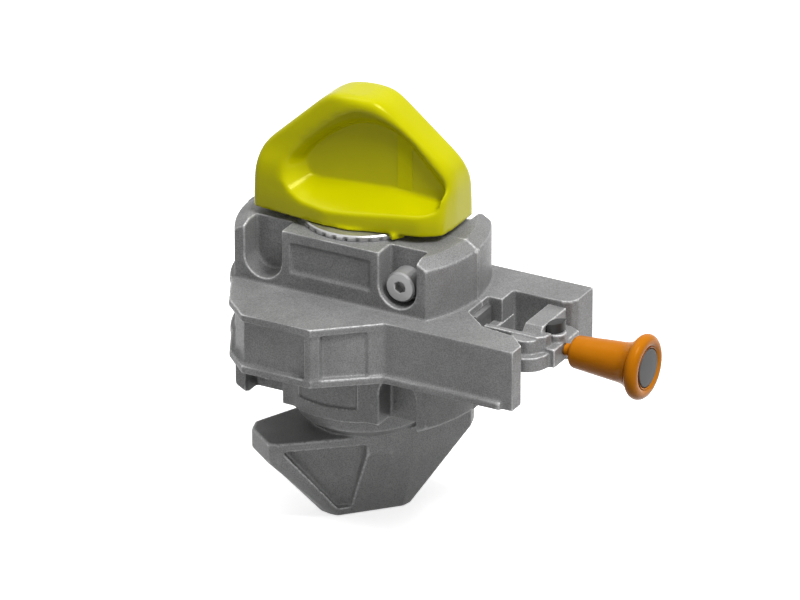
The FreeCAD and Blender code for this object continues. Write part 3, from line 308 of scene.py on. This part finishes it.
# Upper cone: rings of corners from its foot to its ridge, each the front half and its image turned by 180
# degrees. Each hollow's outline is drawn on the web, along it and above the foot, with the way in which
# each corner opens towards the mouth: "slope" per mm of depth, or "round" as a rim that turns outwards.
upperCone = {"node": "top_cone", "name": "yellowCone", "voxel": 0.5, "soften": 4,
             "rim": {"sharp": 30, "above": 60, "near": 2.5, "far": 6, "base": 0.05, "rounds": 45},
             "lip": {"sharp": 30, "above": 44, "near": 1.5, "far": 3, "base": 0.0, "rounds": 8},
             "material": yellowCoat, "body": "spindle", "slot": "yellow_paint"}
coneShape = {
    "foot": 42.5, "webTurn": 8.5, "web": 4, "cornerCut": 2.6, "levelCut": 6, "hollowCut": 2.2,
    "rings": [(-1.1, [(-41.4, -17.6), (-6.3, -21.2), (3.1, -19.9), (33, -13.2), (40.4, -8), (41.4, 1.5)]),
              (6, [(-41.4, -17.6), (-6.3, -21.2), (3.1, -19.9), (33, -13.2), (40.4, -8), (41.4, 1.5)]),
              (17, [(-41.4, -16.6), (-6.3, -18.9), (3.1, -17.4), (33, -8.6), (39.6, -4.2), (41.2, 2.2)]),
              (25.5, [(-39, -13.2), (-6, -15.6), (3, -14.4), (31, -4.2), (37.5, -1.2), (38.8, 3.4)]),
              (49.3, [(-13.4, -9.5), (-4, -11), (3, -10.6), (9.4, -9), (12, -7), (13.4, -2.4)]),
              (51.4, [(-9.2, -8.6), (-3, -9.8), (3, -9.6), (7, -7.6), (8.6, -5.8), (9.2, -2)]),
              (52, [(-4.5, -6), (-1.5, -6.8), (1.5, -6.6), (3.5, -5), (4.2, -4), (4.5, -1.5)])],
    "hollow": [(-20.6, 13.6, "slope", -0.587, -0.349), (-17.3, 12.6, "slope", -0.254, -0.477),
               (-6, 12.7, "slope", 0, -0.46), (14.3, 12.8, "slope", 0.2, -0.43), (30, 11, "slope", 0.1, -0.27),
               (36.6, 10.2, "slope", 0, -0.12), (37.2, 14.5, "slope", 0, 0),
               (36.6, 16.5, "round", 3.8, 3.3, 4), (31, 22.8, "round", 4.6, 4.1, 4.5),
               (22, 33.2, "round", 4.8, 4.5, 4.5), (15, 38.3, "round", 3.4, 5.8, 5),
               (7.7, 40.4, "round", 1.3, 7.6, 6), (1.1, 40.1, "round", -1, 7.4, 6),
               (-5.5, 37.6, "round", -3.4, 5.9, 6), (-12.1, 33.1, "round", -4.3, 4.9, 6),
               (-18.7, 27.3, "round", -4.8, 5.1, 6), (-22.6, 21.5, "slope", -0.965, -0.1),
               (-22.6, 17.3, "slope", -0.857, -0.18)],
    "depths": [4, 4.6, 5.3, 6.2, 7.1, 8, 8.9, 9.8, 11, 13, 16, 20, 26],
    "neck": {"radius": 21, "low": 41.3, "high": 42.2},
    "lug": {"turn": -31, "start": 25.3, "end": 28.2, "half": 3, "low": 39.4, "high": 41.9},
    "strip": {"start": 16.3, "end": 22.5, "low": 11.6, "high": 36, "proud": 0.2}}


def roundCorners(points, cut, steps, closed=True):
    # each corner of a line becomes a short curve that starts and ends at most "cut" before it
    out = []
    count = len(points)
    for number, point in enumerate(points):
        if not closed and number in (0, count - 1):
            out.append(point)
            continue
        before, after = points[number - 1] - point, points[(number + 1) % count] - point
        start = point + before.normalized() * min(cut, 0.45 * before.length)
        end = point + after.normalized() * min(cut, 0.45 * after.length)
        for step in range(steps + 1):
            t = step / steps
            out.append((start * (1 - t) ** 2 + point * 2 * t * (1 - t) + end * t * t))
    return out


def skinLoops(name, loops):
    # a closed shell through loops of equal length
    work = bmesh.new()
    rows = [[work.verts.new(place * mm) for place in loop] for loop in loops]
    for lower, upper in zip(rows, rows[1:]):
        for i in range(len(lower)):
            j = (i + 1) % len(lower)
            work.faces.new((lower[i], lower[j], upper[j], upper[i]))
    work.faces.new(rows[0])
    work.faces.new(rows[-1])
    bmesh.ops.recalc_face_normals(work, faces=work.faces)
    mesh = bpy.data.meshes.new(name)
    work.to_mesh(mesh)
    work.free()
    shell = bpy.data.objects.new(name, mesh)
    bpy.context.scene.collection.objects.link(shell)
    return shell


def coneBody(c):
    corners = []
    for level, half in c["rings"]:
        ring = [Vector((x, y, c["foot"] + level)) for x, y in half + [(-x, -y) for x, y in half]]
        corners.append(roundCorners(ring, c["cornerCut"], 4))
    lines = [roundCorners(list(line), c["levelCut"], 5, closed=False) for line in zip(*corners)]
    return skinLoops("coneBody", list(zip(*lines)))


def hollowCutter(c, side):
    turn = math.radians(c["webTurn"])
    loops = []
    for depth in c["depths"]:
        ring = []
        for corner in c["hollow"]:
            along, high, way, outX, outZ = corner[:5]
            if way == "slope":
                share = depth - c["web"]
            else:
                share = 1 - math.sqrt(1 - min(1, (depth - c["web"]) / corner[5]) ** 2)
            along, high = along + outX * share, high + outZ * share
            ring.append(Vector((side * (math.cos(turn) * along + math.sin(turn) * depth),
                                side * (math.sin(turn) * along - math.cos(turn) * depth), c["foot"] + high)))
        loops.append(roundCorners(ring, c["hollowCut"], 3))
    return skinLoops("coneHollow", loops)


def makeCone(c):
    body = coneBody(c)
    cutters = [hollowCutter(c, side) for side in (1, -1)]
    for cutter in cutters:
        cut = body.modifiers.new("hollow", "BOOLEAN")
        cut.operation = "DIFFERENCE"
        cut.solver = "EXACT"
        cut.object = cutter
    settle(body)
    for cutter in cutters:
        bpy.data.objects.remove(cutter)
    work = bmesh.new()
    work.from_mesh(body.data)
    neck, lug = c["neck"], c["lug"]
    middle = Matrix.Translation((0, 0, (neck["low"] + neck["high"]) / 2 * mm))
    bmesh.ops.create_cone(work, cap_ends=True, segments=96, radius1=neck["radius"] * mm,
                          radius2=neck["radius"] * mm, depth=(neck["high"] - neck["low"]) * mm, matrix=middle)
    size = ((lug["end"] - lug["start"]) * mm, 2 * lug["half"] * mm, (lug["high"] - lug["low"]) * mm)
    place = Matrix.Translation(((lug["start"] + lug["end"]) / 2 * mm, 0, (lug["low"] + lug["high"]) / 2 * mm))
    bmesh.ops.create_cube(work, size=1, matrix=Matrix.Rotation(math.radians(lug["turn"]), 4, "Z") @ place
                          @ Matrix.Diagonal((*size, 1)))
    work.to_mesh(body.data)
    work.free()
    return body


def makeStrips(c):
    # a satin strip up the web in each hollow, coloured lighter than the coat as a painted highlight
    strip, turn = c["strip"], math.radians(c["webTurn"])
    work = bmesh.new()
    long, high = strip["end"] - strip["start"], strip["high"] - strip["low"]
    for side in (1, -1):
        place = Matrix.Rotation(turn + (0 if side > 0 else math.pi), 4, "Z") @ Matrix.Translation(
            Vector((strip["start"] + long / 2, -c["web"], c["foot"] + strip["low"] + high / 2)) * mm)
        bmesh.ops.create_cube(work, size=1, matrix=place @ Matrix.Diagonal(
            (long * mm, 2 * strip["proud"] * mm, high * mm, 1)))
    mesh = bpy.data.meshes.new("webStrips")
    work.to_mesh(mesh)
    work.free()
    piece = bpy.data.objects.new("webStrips", mesh)
    bpy.context.scene.collection.objects.link(piece)
    finishPiece(piece, yellowHighlightStrip, "spindle", "yellow_paint")


castPiece(upperCone, makeCone(coneShape))
makeStrips(coneShape)


# Turned pieces
def lathe(name, profile, along, steps=96):
    # profile: (distance along the axis, radius) in mm; along: "x" or "z"
    work = bmesh.new()
    points = [work.verts.new((a * mm, 0, r * mm) if along == "x" else (r * mm, 0, a * mm)) for a, r in profile]
    edges = [work.edges.new((points[i], points[(i + 1) % len(points)])) for i in range(len(points))]
    axis = (1, 0, 0) if along == "x" else (0, 0, 1)
    bmesh.ops.spin(work, geom=points + edges, cent=(0, 0, 0), axis=axis, angle=math.tau, steps=steps)
    bmesh.ops.remove_doubles(work, verts=work.verts, dist=1e-7)
    bmesh.ops.recalc_face_normals(work, faces=work.faces)
    for edge in work.edges:
        edge.smooth = len(edge.link_faces) != 2 or edge.calc_face_angle(0) < math.radians(32)
    for face in work.faces:
        face.smooth = True
    mesh = bpy.data.meshes.new(name)
    work.to_mesh(mesh)
    work.free()
    piece = bpy.data.objects.new(name, mesh)
    bpy.context.scene.collection.objects.link(piece)
    return piece


def arc(centre, radius, start, end, steps=10):
    # points round a centre in the profile's plane, angles in degrees from the axis
    out = []
    for i in range(steps + 1):
        angle = math.radians(start + (end - start) * i / steps)
        out.append((centre[0] + radius * math.cos(angle), centre[1] + radius * math.sin(angle)))
    return out


handle = {"start": 96, "end": 130, "inner": 2.65, "gripStart": 6.8, "gripEnd": 8.4, "rim": 13.6, "tube": 2.9,
          "recess": 8.3, "deep": 1.8, "ferrule": 4.65, "ferruleLong": 12}


def handleProfile(h):
    start, end, tube = h["start"], h["end"], h["tube"]
    out = [(start, h["inner"]), (start, h["gripStart"] - 2.2)]
    out += arc((start + 2.2, h["gripStart"] - 2.2), 2.2, 180, 96, 8)[1:]
    out += [(end - 16, h["gripEnd"] - 0.3), (end - 12, h["gripEnd"]), (end - 10, h["gripEnd"] + 0.35),
            (end - 8.2, h["gripEnd"] + 1.15), (end - 6.6, h["gripEnd"] + 2.2)]
    out += arc((end - tube, h["rim"] - tube), tube, 195, -60, 22)
    out += [(end - 0.25, h["recess"] + 0.5), (end - 0.5, h["recess"]), (end - h["deep"], h["recess"]),
            (end - h["deep"], h["ferrule"]), (end - h["ferruleLong"] - 2.3, h["ferrule"]),
            (end - h["ferruleLong"] - 2.3, h["inner"])]
    return out


finishPiece(lathe("orangeHandle", handleProfile(handle), "x", 128), orangeGrip, "handle", "orange_grip",
            "pull_handle")
cap = {"start": 128.2, "end": 129.8, "radius": 7.9}
capProfile = [(cap["start"], 0), (cap["start"], cap["radius"])]
capProfile += arc((cap["end"] - 0.4, cap["radius"] - 0.4), 0.4, 90, 0, 5) + [(cap["end"], 0)]
finishPiece(lathe("handleCap", capProfile, "x", 96), greyCap, "handle", "grey_disc", "handle_disc")
stub = {"start": 92.3, "end": 104, "radius": 2.6, "bore": 1.77}
stubProfile = [(stub["start"], stub["bore"]), (stub["start"], stub["radius"] - 0.4),
               (stub["start"] + 0.4, stub["radius"]), (stub["start"] + 2, stub["radius"]),
               (stub["start"] + 2.4, stub["radius"] - 0.35), (stub["start"] + 2.8, stub["radius"]),
               (stub["end"], stub["radius"]), (stub["end"], stub["bore"])]
finishPiece(lathe("orangeSleeve", stubProfile, "x", 48), orangeGrip, "handle", "orange_sleeve", "wire_sleeve")
washer = {"low": 38.5, "high": 41, "bore": 15.26, "radius": 25, "chamfer": 0.5, "steps": 288,
          "notchEvery": 9, "notchWide": 2, "notchTop": 39.5, "notchDeep": 0.9}
washerProfile = [(washer["low"], washer["bore"]), (washer["low"], washer["radius"] - 0.2),
                 (washer["low"] + 0.2, washer["radius"]), (washer["low"] + 0.95, washer["radius"]),
                 (washer["low"] + 1.05, washer["radius"]),
                 (washer["high"] - washer["chamfer"], washer["radius"]),
                 (washer["high"], washer["radius"] - washer["chamfer"]), (washer["high"], washer["bore"])]
ring = lathe("thrustRing", washerProfile, "z", washer["steps"])
for point in ring.data.vertices:
    # narrow notches round the lower half of its rim
    step = round(math.atan2(point.co.y, point.co.x) / math.tau * washer["steps"]) % washer["notchEvery"]
    outside = math.hypot(point.co.x, point.co.y) > (washer["bore"] + washer["radius"]) / 2 * mm
    if step < washer["notchWide"] and point.co.z < washer["notchTop"] * mm and outside:
        point.co.x *= 1 - washer["notchDeep"] / washer["radius"]
        point.co.y *= 1 - washer["notchDeep"] / washer["radius"]
finishPiece(ring, brightSteel, "housing", "bright_steel", "thrust_washer")
print("turned pieces made")


# Socket head screws, repeated by Geometry Nodes
screwSet = {"headRadius": 6.5, "headHigh": 8, "chamfer": 0.7, "socket": 4.4, "socketDeep": 4,
            "socketEdge": 0.3, "shankRadius": 4, "shankLong": 30, "sides": 48, "x": 30.75, "level": 24.2,
            "floor": 18}
screwSides = [(1, -1, 1), (-1, 1, 1), (1, 1, -1), (-1, -1, -1)]  # along X, Y and Z


def screwMesh(s):
    # head outwards along +Z from its seat, shank along -Z
    work = bmesh.new()
    sides, top = s["sides"], s["headHigh"]

    def roundAt(angle, radius):
        return radius

    def hexAt(angle, radius):
        return radius / math.cos((angle + math.pi / 6) % (math.pi / 3) - math.pi / 6)

    rings = [(roundAt, s["shankRadius"], -s["shankLong"]), (roundAt, s["shankRadius"], 0),
             (roundAt, s["headRadius"], 0), (roundAt, s["headRadius"], top - s["chamfer"]),
             (roundAt, s["headRadius"] - s["chamfer"], top), (roundAt, s["socket"] * 0.62, top),
             (hexAt, s["socket"] / 2, top - s["socketEdge"]), (hexAt, s["socket"] / 2, top - s["socketDeep"])]
    loops = []
    for outline, radius, high in rings:
        loop = []
        for i in range(sides):
            angle = math.tau * i / sides
            away = outline(angle, radius) * mm
            loop.append(work.verts.new((away * math.cos(angle), away * math.sin(angle), high * mm)))
        loops.append(loop)
    for lower, upper in zip(loops, loops[1:]):
        for i in range(sides):
            work.faces.new((lower[i], lower[(i + 1) % sides], upper[(i + 1) % sides], upper[i]))
    work.faces.new(list(reversed(loops[0])))
    work.faces.new(loops[-1])
    bmesh.ops.recalc_face_normals(work, faces=work.faces)
    for edge in work.edges:
        edge.smooth = edge.calc_face_angle(0) < math.radians(30)
    for face in work.faces:
        face.smooth = True
    mesh = bpy.data.meshes.new("screwShape")
    work.to_mesh(mesh)
    work.free()
    return mesh


def screwTree(shape, material):
    tree = bpy.data.node_groups.new("screwsInPockets", "GeometryNodeTree")
    tree.interface.new_socket("Geometry", in_out="INPUT", socket_type="NodeSocketGeometry")
    size = tree.interface.new_socket("Screw size", in_out="INPUT", socket_type="NodeSocketFloat")
    size.default_value = 1.0
    tree.interface.new_socket("Geometry", in_out="OUTPUT", socket_type="NodeSocketGeometry")
    start = addNode(tree, "NodeGroupInput")
    model = addNode(tree, "GeometryNodeObjectInfo")
    model.inputs["Object"].default_value = shape
    way = addNode(tree, "GeometryNodeInputNamedAttribute", {"data_type": "FLOAT_VECTOR", "Name": "screwTurn"})
    place = addNode(tree, "GeometryNodeInstanceOnPoints", None, Points=start.outputs["Geometry"],
                    Instance=model.outputs["Geometry"], Rotation=way.outputs["Attribute"],
                    Scale=start.outputs["Screw size"])
    real = addNode(tree, "GeometryNodeRealizeInstances", None, Geometry=place.outputs["Instances"])
    paint = addNode(tree, "GeometryNodeSetMaterial", None, Geometry=real.outputs["Geometry"])
    paint.inputs["Material"].default_value = material
    addNode(tree, "NodeGroupOutput", None, Geometry=paint.outputs["Geometry"])
    return tree


def placeScrews(s):
    shape = bpy.data.objects.new("screwShape", screwMesh(s))
    points = bpy.data.meshes.new("screwPlaces")
    places = [(x * s["x"] * mm, y * s["floor"] * mm, z * s["level"] * mm) for x, y, z in screwSides]
    points.from_pydata(places, [], [])
    turns = points.attributes.new("screwTurn", "FLOAT_VECTOR", "POINT")
    for item, (x, y, z) in zip(turns.data, screwSides):
        item.vector = (-y * math.pi / 2, 0, 0)
    piece = bpy.data.objects.new("housingScrews", points)
    bpy.context.scene.collection.objects.link(piece)
    modifier = piece.modifiers.new("screwsInPockets", "NODES")
    modifier.node_group = screwTree(shape, screwSteel)
    settle(piece)
    bpy.data.objects.remove(shape)
    # the node tree has set the material
    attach(piece, "housing")
    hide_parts("housing_screws")


placeScrews(screwSet)
print("screws placed")


# Small steel pieces: CAD shapes with a broken edge
def brokenEdges(node, name, width, material, body, slotName):
    piece = copyOfNode(node, name)
    bevel = piece.modifiers.new("brokenEdge", "BEVEL")
    bevel.width = width * mm
    bevel.segments = 3
    bevel.limit_method = "ANGLE"
    bevel.angle_limit = math.radians(30)
    bevel.harden_normals = True
    settle(piece)
    piece.data.materials.clear()
    piece.data.shade_smooth()
    finishPiece(piece, material, body, slotName, node)


brokenEdges("guide_block", "wireGuideBlock", 0.6, blockSteel, "housing", "dark_steel")
brokenEdges("stop_pin", "stopPin", 0.8, darkSteel, "housing", "dark_steel")

# Nodes that keep their CAD shape get their finish
finishes = {"upper_bush": bearingBronze, "lower_bush": bearingBronze, "cone_pin": brightSteel,
            "wire_drum": brightSteel, "drum_key": brightSteel, "wire_anchor": brightSteel,
            "torsion_spring": springSteel, "guided_wire": wireSteel, "pull_wire": wireSteel,
            "handle_ferrule": brightSteel}
for nodeName, finish in finishes.items():
    cadNodes[nodeName].data.materials.clear()
    cadNodes[nodeName].data.materials.append(finish)
print("finishes assigned")


# Floor, light and background
studio = {"paper": "#FFFFFF", "bounce": "#6A6A6A", "glow": 0.7, "floorLevel": -91.3, "floorHalf": 6000,
          "ambient": 0.34, "seen": 1.0}
# power in watts, side and place in metres; each lamp looks at the origin
lamps = {"keyLight": (26, 0.6, (0.85, -0.2, 1.4)), "topLight": (7, 1.0, (-0.3, 0.1, 1.42)),
         "leftLight": (0.05, 0.6, (-0.9, -0.7, 1.1))}


def seenRay(tree):
    # 1 for what the camera, a gloss or a clear piece sees, 0 for the light that reaches a dull surface
    path = addNode(tree, "ShaderNodeLightPath")
    either = addNode(tree, "ShaderNodeMath", {"operation": "MAXIMUM"}, i0=path.outputs["Is Camera Ray"],
                     i1=path.outputs["Is Glossy Ray"])
    return addNode(tree, "ShaderNodeMath", {"operation": "MAXIMUM"}, i0=either.outputs[0],
                   i1=path.outputs["Is Transmission Ray"]).outputs[0]


def studioFloor(s):
    mesh = bpy.data.meshes.new("studioFloor")
    half, z = s["floorHalf"] * mm, s["floorLevel"] * mm
    corners = [(-half, -half, z), (half, -half, z), (half, half, z), (-half, half, z)]
    mesh.from_pydata(corners, [], [(0, 1, 2, 3)])
    floor = bpy.data.objects.new("studioFloor", mesh)
    bpy.context.scene.collection.objects.link(floor)
    material, tree, shader = newMaterial("whitePaper", s["paper"], 0.9, 0.0, 0.0)
    # white paper with a faint shadow to the eye, a greyer bounce under the piece
    glow = addNode(tree, "ShaderNodeEmission", {"Color": hexColour(s["paper"]), "Strength": s["glow"]})
    both = addNode(tree, "ShaderNodeAddShader")
    tree.links.new(shader.outputs["BSDF"], both.inputs[0])
    tree.links.new(glow.outputs["Emission"], both.inputs[1])
    dull = addNode(tree, "ShaderNodeBsdfDiffuse", {"Color": hexColour(s["bounce"])})
    pick = addNode(tree, "ShaderNodeMixShader", None, Fac=seenRay(tree))
    tree.links.new(dull.outputs["BSDF"], pick.inputs[1])
    tree.links.new(both.outputs[0], pick.inputs[2])
    tree.links.new(pick.outputs[0], tree.nodes["Material Output"].inputs["Surface"])
    mesh.materials.append(material)


def areaLight(name, power, size, place):
    data = bpy.data.lights.new(name, "AREA")
    data.energy = power
    data.size = size
    lamp = bpy.data.objects.new(name, data)
    lamp.location = place
    lamp.rotation_euler = (-Vector(place)).to_track_quat("-Z", "Y").to_euler()
    bpy.context.scene.collection.objects.link(lamp)


studioFloor(studio)
for lampName, lampSet in lamps.items():
    areaLight(lampName, *lampSet)
world = bpy.data.worlds.new("studioWorld")
bpy.context.scene.world = world
world.use_nodes = True
sky = world.node_tree
sky.nodes.clear()
ambient, white = (addNode(sky, "ShaderNodeBackground",
                          {"Color": hexColour(studio["paper"]), "Strength": studio[strength]})
                  for strength in ("ambient", "seen"))
pick = addNode(sky, "ShaderNodeMixShader", None, Fac=seenRay(sky))
sky.links.new(ambient.outputs[0], pick.inputs[1])
sky.links.new(white.outputs[0], pick.inputs[2])
addNode(sky, "ShaderNodeOutputWorld", None, Surface=pick.outputs[0])
bpy.context.scene.view_settings.view_transform = "Standard"
print("studio set")
